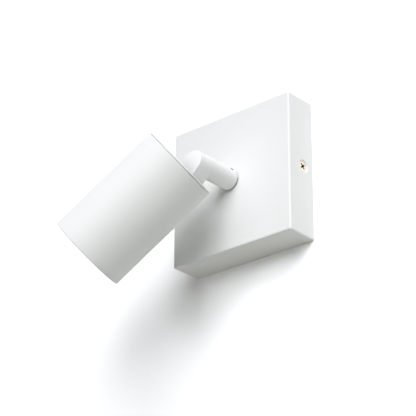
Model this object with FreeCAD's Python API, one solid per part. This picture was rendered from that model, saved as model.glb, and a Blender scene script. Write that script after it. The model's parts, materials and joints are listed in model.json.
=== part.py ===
import FreeCAD, Part
import math
import os

from FreeCAD import Placement, Rotation, Vector

# Wall spotlight in millimetres. X points right, Y into the wall, Z up.
# The origin is the centre of the face that lies on the wall.

# Square cover of the wall plate.
plate_side = 100.0
plate_depth = 24.5
cover_wall = 2.3
cover_edge_r = 1.2

# Lamp head, a plain tube with a capped rear end.
head_diameter = 55.3
head_length = 84.6
tube_wall = 1.5
tube_edge_r = 0.6

# Arm, and the lug across its end that carries the head.
arm_diameter = 14.6
arm_reach = 38.0
arm_wall = 1.75
arm_edge_r = 0.35
lug_half_height = 6.5

# Pose at rest: the lug's direction about the arm, and the beam's angle to the arm, in degrees.
swivel_deg = 220.5
tilt_deg = 76.1

# Clearances, and the overrun of every cut.
overrun = 1.0
thread_gap = 0.05
running_gap = 0.05
hole_gap = 0.15
slide_gap = 0.3

# Countersunk side screws of the cover.
side_screw_r = 2.0
side_head_r = 3.6
side_head_rim = 0.25
side_screw_length = 7.0
side_screw_sink = 0.7
side_screw_behind_front = 14.8

# Cross recess of the screws, as shares of the head's radius, and its turn in each side screw.
cross_span_share = 1.2
cross_width_share = 0.26
cross_depth_share = 0.34
right_cross_deg = 38.0
left_cross_deg = 12.0

# Wall bracket, folded from sheet.
bracket_sheet = 1.5
bracket_height = 84.0
bracket_bend_r = 1.0
tab_width = 24.0
tab_past_screw = 6.0
wall_slot_r = 2.25
wall_slot_length = 9.0
wall_slot_spacing = 60.0

# Cable entry and its bush.
cable_drop = 28.0
cable_r = 4.5
grommet_sleeve = 4.0
grommet_flange = 2.0
grommet_flange_height = 2.0
grommet_neck = 2.5
grommet_neck_height = 2.0
grommet_edge_r = 0.3

# Three-pole connector.
pole_count = 3
pole_pitch = 10.0
terminal_rise = 29.0
terminal_length = 17.0
terminal_slab = 9.0
tower_r = 2.9
tower_height = 3.5
tower_offset = 4.2
clamp_r = 2.4
clamp_bore_r = 1.6
clamp_inset = 1.5
clamp_floor = 0.8
clamp_screw_r = 1.2
clamp_screw_sink = 0.6
screw_slot_width = 0.5
screw_slot_depth = 0.7
fixing_screw_r = 1.5
fixing_head_r = 2.4
fixing_head_height = 1.6
fixing_head_edge_r = 0.3

# Earth connection on the bracket.
earth_side = 24.0
earth_drop = 22.0
earth_screw_r = 2.0
earth_head_r = 3.6
earth_head_height = 2.4
earth_head_edge_r = 0.8
earth_washer_r = 4.2
earth_washer_height = 0.8
earth_ring_r = 4.0
earth_ring_height = 0.8
earth_barrel_wall = 0.6
earth_barrel_length = 5.5

# Hollow nipple that fills the arm's socket and lets it turn, with its nut and washers.
nipple_wall = 1.8
nipple_edge_r = 0.3
nipple_tail = 2.5
nipple_depth_in_arm = 10.0
nipple_groove_depth = 0.8
nipple_groove_width = 3.6
collar_width = 0.5
collar_height = 0.5
friction_washer_height = 0.45
friction_washer_inset = 0.5
nut_wall = 2.0
nut_height = 3.5
lock_washer_width = 2.5
lock_washer_height = 1.0

# Set screw of the arm: its height above the plate and its direction from +X, in degrees.
grub_height = 5.2
grub_deg = 42.0
grub_r = 1.5
grub_sink = 0.5
grub_hex_share = 0.5
grub_hex_depth = 1.0

# Leads, and the sleeve that takes them through the arm.
lead_r = 0.9
lead_pitch = 2.8
sleeve_r = 1.9
sleeve_bend_r = 3.6
sleeve_tail = 3.0
lead_bore_r = 2.6
lead_slot = 6.0
lead_slot_floor = 3.0
lead_gap_at_pin = 1.0
corner_share = 0.45
earth_lead_run = 9.0

# Rear cap of the head.
cap_edge = 1.0
cap_edge_r = 0.75
cap_lip_r = 0.15
cap_groove = 0.8
cap_groove_depth = 0.95
spigot_length = 5.1
spigot_wall = 1.0
spigot_edge_r = 0.2
slot_clearance = 0.4
slot_rim = 0.55
slot_corner_r = 0.4
boss_count = 3
boss_r = 3.0
boss_from_rim = 5.1

# Carrier plate with the two ears of the tilt pivot.
carrier_sheet = 1.5
carrier_clearance = 0.6
carrier_rim = 1.1
ear_half_width = 5.0
ear_thickness = 1.5
tilt_washer_height = 0.5
tilt_washer_r = 4.4
tilt_bolt_r = 2.0
tilt_head_r = 3.5
tilt_head_height = 2.4
tilt_head_edge_r = 0.8
tilt_nut_across_flats = 7.0
tilt_nut_height = 3.0
tilt_bolt_past_nut = 0.5
lead_window_r = 3.2

# Small screws inside the head.
small_screw_r = 1.5
small_head_r = 2.7
small_head_height = 1.8
small_head_edge_r = 0.2
small_screw_bite = 6.0

# Twist-lock lamp holder, with the lamp's pins turned to their locked end.
holder_r = 13.5
holder_height = 14.0
holder_edge_r = 0.8
holder_screw_ring = 9.8
holder_screw_deg = 150.0
holder_screw_well = 3.0
holder_lead_depth = 3.5
holder_lead_hole = 4.5
pin_ring = 5.0
pin_rest_deg = 90.0
twist_deg = 25.0
pin_neck_r = 1.35
pin_neck_length = 3.0
pin_head_r = 2.45
pin_length = 7.0
pin_edge_r = 0.2
pin_clearance = 0.25
contact_thickness = 0.5

# Reflector lamp.
lamp_diameter = 50.0
lamp_body_length = 47.0
lamp_seat_gap = 0.2
lamp_base_r = 11.0
lamp_neck_r = 12.0
lamp_neck_length = 13.0
lamp_rim_length = 6.0
lamp_rim_step = 0.8
lamp_bulge = 2.6
lamp_edge_r = 0.6
lamp_lip = 1.8
lens_sink = 0.8
lens_thickness = 2.2
lens_dome = 0.6
board_space = 4.0
board_thickness = 1.2
board_step = 1.2
chip_count = 6
chip_side = 3.0
chip_height = 0.7
chip_ring = 11.0

# Sizes that follow from the ones above.
half_side = plate_side / 2
inner_half = half_side - cover_wall
cover_inside = plate_depth - cover_wall
side_screw_height = plate_depth - side_screw_behind_front
bracket_half = inner_half - slide_gap
tab_height = side_screw_height + tab_past_screw
tap_r = side_screw_r + thread_gap
grommet_r = cable_r + grommet_sleeve
grommet_top = bracket_sheet + grommet_flange_height + grommet_neck_height
arm_r = arm_diameter / 2
arm_foot = collar_height + friction_washer_height + running_gap
arm_bore_depth = nipple_depth_in_arm + slide_gap
nipple_r = arm_r - arm_wall - running_gap
nipple_bore_r = nipple_r - nipple_wall
nipple_groove_r = nipple_r - nipple_groove_depth
collar_r = nipple_r + collar_width
nut_across_flats = 2 * (nipple_r + nut_wall)
lock_washer_r = nipple_r + lock_washer_width
nipple_back = cover_inside - lock_washer_height - nut_height - nipple_tail
sleeve_back = nipple_back - sleeve_tail
pivot_height = arm_reach - lug_half_height
head_r = head_diameter / 2
tube_bore_r = head_r - tube_wall
spigot_r = tube_bore_r - thread_gap
spigot_bore_r = spigot_r - spigot_wall
cap_depth = cap_edge + cap_groove
slot_half_width = arm_r + slot_clearance
slot_end = math.sqrt(spigot_bore_r ** 2 - slot_half_width ** 2) - slot_rim
pivot_offset = slot_end - slot_clearance - lug_half_height
pivot_depth = cap_depth + lug_half_height
carrier_depth = pivot_depth + lug_half_height + carrier_clearance
holder_depth = carrier_depth + carrier_sheet
holder_face = holder_depth + holder_height
boss_ring = spigot_bore_r - boss_from_rim
ear_inside = arm_r + tilt_washer_height + 2 * running_gap
ear_outside = ear_inside + ear_thickness
pin_space = pin_length - lamp_seat_gap + pin_clearance + contact_thickness
clamp_height = bracket_sheet + clamp_floor + clamp_r
terminal_low = terminal_rise - terminal_length / 2
terminal_top = bracket_sheet + terminal_slab
lead_end = terminal_rise - tower_offset + clamp_screw_r
earth_barrel_r = lead_r + earth_barrel_wall
earth_ring_base = bracket_sheet + earth_washer_height
earth_head_base = earth_ring_base + earth_ring_height

X = Vector(1, 0, 0)
Y = Vector(0, 1, 0)
Z = Vector(0, 0, 1)

# Frames. In the wall frame x points right, y up and z out of the wall.
# In the arm and head frames z follows the arm and the beam, and y follows the tilt pin.
wall_frame = Placement(Vector(0, 0, 0), Rotation(X, 90))
arm_frame = Placement(Vector(0, -plate_depth, 0), Rotation(X, 90) * Rotation(Z, swivel_deg))
pivot_turn = Placement(Vector(pivot_offset, 0, pivot_height), Rotation(Y, tilt_deg))
pivot_to_rear = Placement(Vector(-pivot_offset, 0, -pivot_depth), Rotation())
head_frame = arm_frame * pivot_turn * pivot_to_rear
lamp_frame = head_frame * Placement(Vector(0, 0, holder_face + lamp_seat_gap), Rotation())


def block(x_span, y_span, z_span):
    """Box between the low and high value of each span."""
    low = Vector(x_span[0], y_span[0], z_span[0])
    size = Vector(x_span[1], y_span[1], z_span[1]) - low
    return Part.makeBox(size.x, size.y, size.z, low)


def rod(radius, start, end, x=0, y=0):
    """Cylinder along z between two heights."""
    return Part.makeCylinder(radius, end - start, Vector(x, y, start), Z)


def cross_rod(radius, start, end, x, z):
    """Cylinder along y between two places."""
    return Part.makeCylinder(radius, end - start, Vector(x, start, z), Y)


def ring(outer_r, inner_r, start, end, x=0, y=0):
    """Flat ring along z, with a hole that runs through it."""
    hole = rod(inner_r, start - overrun, end + overrun, x, y)
    return rod(outer_r, start, end, x, y).cut(hole)


def hexagon(across_flats, start, end, x=0, y=0):
    """Six-sided prism along z."""
    corner_r = across_flats / math.sqrt(3)
    corners = [Vector(corner_r, 0, start)]
    for step in range(1, 7):
        corners.append(Rotation(Z, step * 60).multVec(corners[0]))
    face = Part.Face(Part.makePolygon(corners))
    return face.extrude(Vector(0, 0, end - start)).translated(Vector(x, y, 0))


def rounded_face(corners):
    """Face in the xz plane through corners (x, z, rounding)."""
    places = [Vector(x, 0, z) for x, z, rounding in corners]
    edges = []
    joints = []
    for index, (x, z, rounding) in enumerate(corners):
        here = places[index]
        back = (places[index - 1] - here).normalize()
        ahead = (places[(index + 1) % len(places)] - here).normalize()
        if not rounding:
            joints.append((here, here))
            continue
        half = back.getAngle(ahead) / 2
        reach = rounding / math.tan(half)
        middle = here + (back + ahead).normalize() * (rounding / math.sin(half) - rounding)
        joints.append((here + back * reach, here + ahead * reach))
        edges.append(Part.Arc(joints[-1][0], middle, joints[-1][1]).toShape())
    for index, (first, last) in enumerate(joints):
        start = joints[index - 1][1]
        edges.append(Part.LineSegment(start, first).toShape())
    return Part.Face(Part.Wire(Part.__sortEdges__(edges)))


def turned(corners):
    """Solid of revolution about z from corners (radius, height, rounding)."""
    return rounded_face(corners).revolve(Vector(0, 0, 0), Z, 360)


def around(count, radius, first_deg=0):
    """Places evenly spaced on a circle."""
    start = Rotation(Z, first_deg).multVec(Vector(radius, 0, 0))
    return [Rotation(Z, index * 360 / count).multVec(start) for index in range(count)]


def cross_recess(head_r, top):
    """Cross-shaped cutter for a screw head whose top is at the given height."""
    span = head_r * cross_span_share / 2
    width = head_r * cross_width_share / 2
    floor = top - head_r * cross_depth_share
    bar = block((-span, span), (-width, width), (floor, top + overrun))
    other = block((-width, width), (-span, span), (floor, top + overrun))
    return bar.fuse(other)


def pan_screw(shank_r, head_r, head_height, length, edge_r):
    """Screw whose head rests on z = 0 and whose shank points down."""
    profile = [
        (0, -length, 0),
        (shank_r, -length, 0),
        (shank_r, 0, 0),
        (head_r, 0, 0),
        (head_r, head_height, edge_r),
        (0, head_height, 0),
    ]
    return turned(profile).cut(cross_recess(head_r, head_height))


def countersunk_screw(cross_deg):
    """Side screw with its flat top at z = 0 and its shank pointing down."""
    cone = side_head_r - side_screw_r + side_head_rim
    profile = [
        (0, 0, 0),
        (side_head_r, 0, 0),
        (side_head_r, -side_head_rim, 0),
        (side_screw_r, -cone, 0),
        (side_screw_r, -side_screw_length, 0),
        (0, -side_screw_length, 0),
    ]
    recess = cross_recess(side_head_r, 0)
    recess.rotate(Vector(0, 0, 0), Z, cross_deg)
    return turned(profile).cut(recess)


def bent_rod(points, radius, bend_r=None):
    """Round lead along straight runs joined by tangent arcs."""
    edges = []
    start = points[0]
    for before, corner, after in zip(points, points[1:], points[2:]):
        back = before - corner
        ahead = after - corner
        half = back.getAngle(ahead) / 2
        reach = corner_share * min(back.Length, ahead.Length)
        if bend_r:
            reach = bend_r / math.tan(half)
        arc_r = reach * math.tan(half)
        back.normalize()
        ahead.normalize()
        middle = corner + (back + ahead).normalize() * (arc_r / math.sin(half) - arc_r)
        edges.append(Part.LineSegment(start, corner + back * reach).toShape())
        edges.append(Part.Arc(corner + back * reach, middle, corner + ahead * reach).toShape())
        start = corner + ahead * reach
    edges.append(Part.LineSegment(start, points[-1]).toShape())
    section = Part.Wire(Part.Circle(points[0], points[1] - points[0], radius).toShape())
    return Part.Wire(edges).makePipeShell([section], True, False)


def side_sinks():
    """Countersunk holes through both sides of the cover."""
    top_r = side_head_r + hole_gap
    low_r = side_screw_r + hole_gap
    cone = top_r - low_r + side_head_rim
    profile = [
        (0, overrun, 0),
        (top_r + side_screw_sink + overrun, overrun, 0),
        (top_r, -side_screw_sink, 0),
        (top_r, -side_screw_sink - side_head_rim, 0),
        (low_r, -side_screw_sink - cone, 0),
        (low_r, -cover_wall - overrun, 0),
        (0, -cover_wall - overrun, 0),
    ]
    sink = turned(profile)
    cutters = []
    for turn in (90, -90):
        place = Rotation(Y, turn)
        shift = place.multVec(Vector(0, 0, half_side)) + Vector(0, 0, side_screw_height)
        cutters.append(sink.transformed(Placement(shift, place).toMatrix()))
    return cutters


def base_cover():
    outside = block((-half_side, half_side), (-half_side, half_side), (0, plate_depth))
    rounded = [edge for edge in outside.Edges if edge.BoundBox.ZMax > overrun]
    outside = outside.makeFillet(cover_edge_r, rounded)
    inside = block((-inner_half, inner_half), (-inner_half, inner_half), (-overrun, cover_inside))
    nipple_hole = rod(nipple_r + hole_gap, 0, plate_depth + overrun)
    return outside.cut([inside, nipple_hole] + side_sinks())


def cover_screws():
    screws = []
    for turn, cross_deg in ((90, right_cross_deg), (-90, left_cross_deg)):
        place = Rotation(Y, turn)
        outward = place.multVec(Vector(0, 0, half_side - side_screw_sink))
        shift = outward + Vector(0, 0, side_screw_height)
        screw = countersunk_screw(cross_deg)
        screws.append(screw.transformed(Placement(shift, place).toMatrix()))
    return screws


def wall_slot(x):
    """Cutter for a slot that runs along x."""
    reach = wall_slot_length / 2 - wall_slot_r
    heights = (-overrun, bracket_sheet + overrun)
    middle = block((x - reach, x + reach), (-wall_slot_r, wall_slot_r), heights)
    ends = [rod(wall_slot_r, *heights, x + side * reach) for side in (-1, 1)]
    return middle.fuse(ends)


def wall_bracket():
    bend = bracket_bend_r + bracket_sheet
    half_tab = tab_width / 2
    channel = block((-bracket_half, bracket_half), (-half_tab, half_tab), (0, tab_height))
    inner = bracket_half - bracket_sheet
    hollow = block((-inner, inner), (-tab_width, tab_width), (bracket_sheet, tab_height + overrun))
    hollow = hollow.makeFillet(bracket_bend_r, low_side_edges(hollow, inner, bracket_sheet))
    channel = channel.makeFillet(bend, low_side_edges(channel, bracket_half, 0)).cut(hollow)
    flat = bracket_half - bend
    half_height = bracket_height / 2
    plate = block((-flat, flat), (-half_height, half_height), (0, bracket_sheet))
    through = (-overrun, bracket_sheet + overrun)
    cuts = [wall_slot(side * wall_slot_spacing / 2) for side in (-1, 1)]
    cuts.append(rod(grommet_r, *through, 0, -cable_drop))
    cuts.append(rod(earth_screw_r + thread_gap, *through, earth_side, -earth_drop))
    cuts.append(rod(fixing_screw_r + thread_gap, *through, -pole_pitch / 2, terminal_rise))
    tap = Part.makeCylinder(tap_r, 2 * half_side, Vector(-half_side, 0, side_screw_height), X)
    return channel.fuse(plate).removeSplitter().cut(cuts + [tap])


def low_side_edges(shape, x, z):
    """Edges along y at both ends of x, at height z."""
    found = []
    for edge in shape.Edges:
        box = edge.BoundBox
        along_y = box.YLength > box.XLength + box.ZLength
        if along_y and abs(abs(box.XMax) - x) < thread_gap and abs(box.ZMax - z) < thread_gap:
            found.append(edge)
    return found


def cable_grommet():
    flange_top = bracket_sheet + grommet_flange_height
    flange_r = grommet_r + grommet_flange
    neck_r = cable_r + grommet_neck
    profile = [
        (cable_r, 0, 0),
        (grommet_r - thread_gap, 0, 0),
        (grommet_r - thread_gap, bracket_sheet, 0),
        (flange_r, bracket_sheet, 0),
        (flange_r, flange_top, grommet_edge_r),
        (neck_r, flange_top, 0),
        (neck_r, grommet_top, grommet_edge_r),
        (cable_r, grommet_top, 0),
    ]
    return turned(profile).translated(Vector(0, -cable_drop, 0))


def pole_places():
    first = -(pole_count - 1) / 2 * pole_pitch
    return [first + index * pole_pitch for index in range(pole_count)]


def clamp_screw_places():
    return [(x, terminal_rise + side * tower_offset) for x in pole_places() for side in (-1, 1)]


def terminal_block():
    half_width = pole_count * pole_pitch / 2
    high = terminal_rise + terminal_length / 2
    slab = block((-half_width, half_width), (terminal_low, high), (bracket_sheet, terminal_top))
    tower_top = terminal_top + tower_height
    towers = [rod(tower_r, clamp_height, tower_top, *place) for place in clamp_screw_places()]
    body = slab.fuse(towers)
    screw_hole_r = clamp_screw_r + hole_gap
    cuts = [rod(screw_hole_r, clamp_height, tower_top + overrun, *p) for p in clamp_screw_places()]
    way_r = clamp_r + thread_gap
    for x in pole_places():
        cuts.append(cross_rod(way_r, terminal_low - overrun, high + overrun, x, clamp_height))
    fixing_r = fixing_screw_r + hole_gap
    cuts.append(rod(fixing_r, 0, terminal_top + overrun, -pole_pitch / 2, terminal_rise))
    return body.cut(cuts)


def terminal_clamps():
    start = terminal_low + clamp_inset
    end = start + terminal_length - 2 * clamp_inset
    clamps = []
    for x in pole_places():
        tube = cross_rod(clamp_r, start, end, x, clamp_height)
        bore = cross_rod(clamp_bore_r, start - overrun, end + overrun, x, clamp_height)
        taps = []
        for side in (-1, 1):
            y = terminal_rise + side * tower_offset
            taps.append(rod(clamp_screw_r + thread_gap, clamp_height, terminal_top, x, y))
        clamps.append(tube.cut([bore] + taps))
    return clamps


def terminal_screws():
    top = terminal_top + tower_height - clamp_screw_sink
    tip = clamp_height + lead_r + thread_gap
    screws = []
    for x, y in clamp_screw_places():
        half_slot = screw_slot_width / 2
        slot_x = (x - clamp_screw_r, x + clamp_screw_r)
        slot = block(slot_x, (y - half_slot, y + half_slot), (top - screw_slot_depth, top + overrun))
        screws.append(rod(clamp_screw_r, tip, top, x, y).cut(slot))
    return screws


def terminal_fixing_screw():
    length = terminal_top - slide_gap
    screw = pan_screw(fixing_screw_r, fixing_head_r, fixing_head_height, length, fixing_head_edge_r)
    return screw.translated(Vector(-pole_pitch / 2, terminal_rise, terminal_top))


def earth_screw():
    length = earth_head_base - slide_gap
    screw = pan_screw(earth_screw_r, earth_head_r, earth_head_height, length, earth_head_edge_r)
    return screw.translated(Vector(earth_side, -earth_drop, earth_head_base))


def earth_washer():
    hole_r = earth_screw_r + hole_gap
    return ring(earth_washer_r, hole_r, bracket_sheet, earth_ring_base, earth_side, -earth_drop)


def earth_barrel_span():
    """Start and end of the ring's crimp barrel along y, and its height."""
    start = -earth_drop + earth_ring_r
    return start, start + earth_barrel_length, earth_ring_base + earth_barrel_r


def earth_ring():
    start, end, height = earth_barrel_span()
    eye = rod(earth_ring_r, earth_ring_base, earth_head_base, earth_side, -earth_drop)
    neck_x = (earth_side - earth_barrel_r, earth_side + earth_barrel_r)
    neck = block(neck_x, (-earth_drop, start + earth_barrel_wall), (earth_ring_base, earth_head_base))
    barrel = cross_rod(earth_barrel_r, start, end, earth_side, height)
    hole_r = earth_screw_r + hole_gap
    eye_hole = rod(hole_r, bracket_sheet, earth_head_base + overrun, earth_side, -earth_drop)
    crimp = cross_rod(lead_r + thread_gap, start + earth_barrel_wall, end + overrun, earth_side, height)
    return eye.fuse([neck, barrel]).cut([eye_hole, crimp]).removeSplitter()


def earth_lead():
    start, end, height = earth_barrel_span()
    pole = pole_places()[-1]
    points = [
        Vector(pole, lead_end, clamp_height),
        Vector(pole, terminal_low - earth_lead_run, clamp_height),
        Vector(earth_side, end + earth_lead_run, height),
        Vector(earth_side, start + 2 * earth_barrel_wall, height),
    ]
    return bent_rod(points, lead_r)


def base_leads():
    leads = []
    top = sleeve_back - slide_gap
    for side, pole in zip((-1, 1), pole_places()):
        x = side * (lead_r + thread_gap)
        points = [
            Vector(x, 0, top),
            Vector(x, 0, clamp_height),
            Vector(pole, (terminal_low + nipple_r) / 2, clamp_height),
            Vector(pole, lead_end, clamp_height),
        ]
        leads.append(bent_rod(points, lead_r))
    return leads


def swivel_nipple():
    top = plate_depth + arm_foot + nipple_depth_in_arm
    collar_top = plate_depth + collar_height
    groove_middle = plate_depth + grub_height
    groove_low = groove_middle - nipple_groove_width / 2
    groove_high = groove_middle + nipple_groove_width / 2
    profile = [
        (nipple_bore_r, nipple_back, 0),
        (nipple_r, nipple_back, 0),
        (nipple_r, plate_depth, 0),
        (collar_r, plate_depth, 0),
        (collar_r, collar_top, 0),
        (nipple_r, collar_top, 0),
        (nipple_r, groove_low, 0),
        (nipple_groove_r, groove_low, 0),
        (nipple_groove_r, groove_high, 0),
        (nipple_r, groove_high, 0),
        (nipple_r, top, nipple_edge_r),
        (nipple_bore_r, top, 0),
    ]
    return turned(profile)


def swivel_nut():
    top = cover_inside - lock_washer_height
    nut = hexagon(nut_across_flats, top - nut_height, top)
    return nut.cut(rod(nipple_r + thread_gap, 0, plate_depth))


def swivel_lock_washer():
    return ring(lock_washer_r, nipple_r + hole_gap, cover_inside - lock_washer_height, cover_inside)


def swivel_friction_washer():
    start = plate_depth + collar_height
    outer_r = arm_r - friction_washer_inset
    return ring(outer_r, nipple_r + thread_gap, start, start + friction_washer_height)


def grub_direction():
    """Unit vector from the arm's axis to the set screw, in the arm's frame."""
    return Rotation(Z, grub_deg - swivel_deg).multVec(X)


def arm():
    shaft = rod(arm_r, arm_foot, arm_reach)
    lug_heights = (arm_reach - 2 * lug_half_height, arm_reach)
    lug = block((0, pivot_offset), (-arm_r, arm_r), lug_heights)
    tip = cross_rod(lug_half_height, -arm_r, arm_r, pivot_offset, pivot_height)
    body = shaft.fuse([lug, tip]).removeSplitter()
    rounded = [edge for edge in body.Edges if rounds_end(edge)]
    body = body.makeFillet(arm_edge_r, rounded)
    socket = rod(nipple_r + running_gap, 0, arm_foot + arm_bore_depth)
    bore = rod(lead_bore_r, 0, pivot_height + lead_bore_r)
    slot_start = lug_slot_start()
    lead_way = Part.makeCylinder(lead_bore_r, slot_start + overrun, Vector(0, 0, pivot_height), X)
    slot_x = (slot_start, pivot_offset + lug_half_height + overrun)
    slot_z = (lug_heights[0] + lead_slot_floor, arm_reach + overrun)
    slot = block(slot_x, (-lead_slot / 2, lead_slot / 2), slot_z)
    bolt_r = tilt_bolt_r + running_gap
    bolt_hole = cross_rod(bolt_r, -arm_diameter, arm_diameter, pivot_offset, pivot_height)
    tap_start = Vector(0, 0, grub_height)
    grub_tap = Part.makeCylinder(grub_r + thread_gap, arm_diameter, tap_start, grub_direction())
    return body.cut([socket, bore, lead_way, slot, bolt_hole, grub_tap])


def rounds_end(edge):
    """True for the outer edges of the flat end face and of the arm's foot."""
    box = edge.BoundBox
    flat = box.ZLength < thread_gap
    at_end = abs(box.ZMax - arm_reach) < thread_gap
    at_foot = abs(box.ZMax - arm_foot) < thread_gap
    crosses_tip = box.XMin > pivot_offset - thread_gap and box.XLength < thread_gap
    return flat and (at_end or at_foot) and not crosses_tip


def lug_slot_start():
    """Where the lug opens for the leads, just inside the rear cap at any tilt."""
    return pivot_offset - lug_half_height


def arm_grub_screw():
    outward = grub_direction()
    inner = nipple_groove_r + slide_gap
    outer = arm_r - grub_sink
    base = outward * inner + Vector(0, 0, grub_height)
    hexagon_r = grub_r * grub_hex_share
    screw = Part.makeCylinder(grub_r, outer - inner, base, outward)
    key = hexagon(2 * hexagon_r, outer - grub_hex_depth, outer + overrun)
    key_place = Placement(Vector(0, 0, grub_height), Rotation(Z, outward))
    return screw.cut(key.transformed(key_place.toMatrix()))


def arm_lead_sleeve():
    points = [
        Vector(0, 0, sleeve_back - plate_depth),
        Vector(0, 0, pivot_height),
        Vector(pivot_offset - tilt_bolt_r - lead_gap_at_pin, 0, pivot_height),
    ]
    return bent_rod(points, sleeve_r, sleeve_bend_r)


def head_tube():
    profile = [
        (tube_bore_r, cap_depth, 0),
        (head_r, cap_depth, tube_edge_r),
        (head_r, head_length, tube_edge_r),
        (tube_bore_r, head_length, tube_edge_r),
    ]
    return turned(profile)


def cap_slot():
    """Cutter for the slot in the cap, round about the head's axis at its inner end."""
    heights = (-overrun, cap_depth + overrun)
    straight = block((0, slot_end), (-slot_half_width, slot_half_width), heights)
    corners = []
    for edge in straight.Edges:
        box = edge.BoundBox
        if box.ZLength > cap_depth and box.XMin > slot_end - thread_gap:
            corners.append(edge)
    return straight.makeFillet(slot_corner_r, corners).fuse(rod(slot_half_width, *heights))


def rear_cap():
    groove_r = head_r - cap_groove_depth
    spigot_end = cap_depth + spigot_length
    profile = [
        (0, 0, 0),
        (head_r, 0, cap_edge_r),
        (head_r, cap_edge, cap_lip_r),
        (groove_r, cap_edge, 0),
        (groove_r, cap_depth, 0),
        (spigot_r, cap_depth, 0),
        (spigot_r, spigot_end, spigot_edge_r),
        (spigot_bore_r, spigot_end, spigot_edge_r),
        (spigot_bore_r, cap_depth, 0),
        (0, cap_depth, 0),
    ]
    places = around(boss_count, boss_ring, 180 / boss_count)
    bosses = [rod(boss_r, cap_depth, carrier_depth, place.x, place.y) for place in places]
    tap_r = small_screw_r + thread_gap
    tap_floor = carrier_depth - small_screw_bite - overrun
    taps = [rod(tap_r, tap_floor, holder_depth, place.x, place.y) for place in places]
    return turned(profile).fuse(bosses).removeSplitter().cut(taps + [cap_slot()])


def holder_screw_places():
    return around(2, holder_screw_ring, holder_screw_deg)


def tilt_bracket():
    plate_r = boss_ring + boss_r + carrier_rim
    plate = rod(plate_r, carrier_depth, holder_depth)
    ears = []
    for side in (-1, 1):
        span = sorted((side * ear_inside, side * ear_outside))
        ear_x = (pivot_offset - ear_half_width, pivot_offset + ear_half_width)
        ears.append(block(ear_x, span, (pivot_depth, carrier_depth)))
        ears.append(cross_rod(ear_half_width, *span, pivot_offset, pivot_depth))
    body = plate.fuse(ears).removeSplitter()
    bolt_hole_r = tilt_bolt_r + hole_gap
    past_ear = ear_outside + overrun
    cuts = [cross_rod(bolt_hole_r, -past_ear, past_ear, pivot_offset, pivot_depth)]
    heights = (carrier_depth - overrun, holder_depth + overrun)
    cuts.append(rod(lead_window_r, *heights, pivot_offset))
    for place in around(boss_count, boss_ring, 180 / boss_count):
        cuts.append(rod(small_screw_r + hole_gap, *heights, place.x, place.y))
    for place in holder_screw_places():
        cuts.append(rod(small_screw_r + thread_gap, *heights, place.x, place.y))
    return body.cut(cuts)


def bracket_screws():
    screws = []
    length = carrier_sheet + small_screw_bite
    for place in around(boss_count, boss_ring, 180 / boss_count):
        screw = pan_screw(small_screw_r, small_head_r, small_head_height, length, small_head_edge_r)
        screws.append(screw.translated(Vector(place.x, place.y, holder_depth)))
    return screws


def tilt_bolt():
    length = 2 * ear_outside + tilt_nut_height + tilt_bolt_past_nut
    screw = pan_screw(tilt_bolt_r, tilt_head_r, tilt_head_height, length, tilt_head_edge_r)
    place = Placement(Vector(pivot_offset, ear_outside, pivot_depth), Rotation(X, -90))
    return screw.transformed(place.toMatrix())


def tilt_nut():
    nut = hexagon(tilt_nut_across_flats, 0, tilt_nut_height)
    nut = nut.cut(rod(tilt_bolt_r + thread_gap, -overrun, tilt_nut_height + overrun))
    place = Placement(Vector(pivot_offset, -ear_outside, pivot_depth), Rotation(X, 90))
    return nut.transformed(place.toMatrix())


def tilt_washers():
    washers = []
    for side in (-1, 1):
        start = arm_r + running_gap
        washer = ring(tilt_washer_r, tilt_bolt_r + thread_gap, start, start + tilt_washer_height)
        place = Placement(Vector(pivot_offset, 0, pivot_depth), Rotation(X, side * 90))
        washers.append(washer.transformed(place.toMatrix()))
    return washers


def pin_channel(half_width, low, high):
    """Two curved channels that the lamp's pins travel in."""
    channels = []
    for place in around(2, pin_ring, pin_rest_deg):
        start = rod(half_width, low, high, place.x, place.y)
        end = start.copy()
        end.rotate(Vector(0, 0, 0), Z, twist_deg)
        corners = [
            Vector(pin_ring - half_width, 0, low),
            Vector(pin_ring + half_width, 0, low),
            Vector(pin_ring + half_width, 0, high),
            Vector(pin_ring - half_width, 0, high),
        ]
        face = Part.Face(Part.makePolygon(corners + corners[:1]))
        sweep = face.revolve(Vector(0, 0, 0), Z, twist_deg)
        sweep.rotate(Vector(0, 0, 0), Z, math.degrees(math.atan2(place.y, place.x)))
        channels.append(start.fuse([end, sweep]).removeSplitter())
    return channels


def lamp_holder():
    profile = [
        (0, holder_depth, 0),
        (holder_r, holder_depth, 0),
        (holder_r, holder_face, holder_edge_r),
        (0, holder_face, 0),
    ]
    lip = holder_face - pin_neck_length + lamp_seat_gap + pin_clearance
    head_way = pin_head_r + pin_clearance
    cuts = pin_channel(head_way, holder_face - pin_space, lip)
    cuts += pin_channel(pin_neck_r + pin_clearance, lip - overrun, holder_face + overrun)
    for place in around(2, pin_ring, pin_rest_deg + twist_deg):
        cuts.append(rod(head_way, lip - overrun, holder_face + overrun, place.x, place.y))
    well_floor = holder_face - holder_screw_well
    for place in holder_screw_places():
        hole_r = small_screw_r + hole_gap
        cuts.append(rod(hole_r, holder_depth - overrun, holder_face, place.x, place.y))
        cuts.append(rod(small_head_r + hole_gap, well_floor, holder_face + overrun, place.x, place.y))
    for side in (-1, 1):
        start = Vector(holder_r - holder_lead_hole, side * lead_pitch / 2, holder_depth + holder_lead_depth)
        cuts.append(Part.makeCylinder(lead_r + thread_gap, holder_r, start, X))
    return turned(profile).cut(cuts)


def holder_contacts():
    floor = holder_face - pin_space
    return pin_channel(pin_head_r, floor, floor + contact_thickness)


def holder_screws():
    screws = []
    seat = holder_face - holder_screw_well
    length = seat - carrier_depth
    for place in holder_screw_places():
        screw = pan_screw(small_screw_r, small_head_r, small_head_height, length, small_head_edge_r)
        screws.append(screw.translated(Vector(place.x, place.y, seat)))
    return screws


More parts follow.
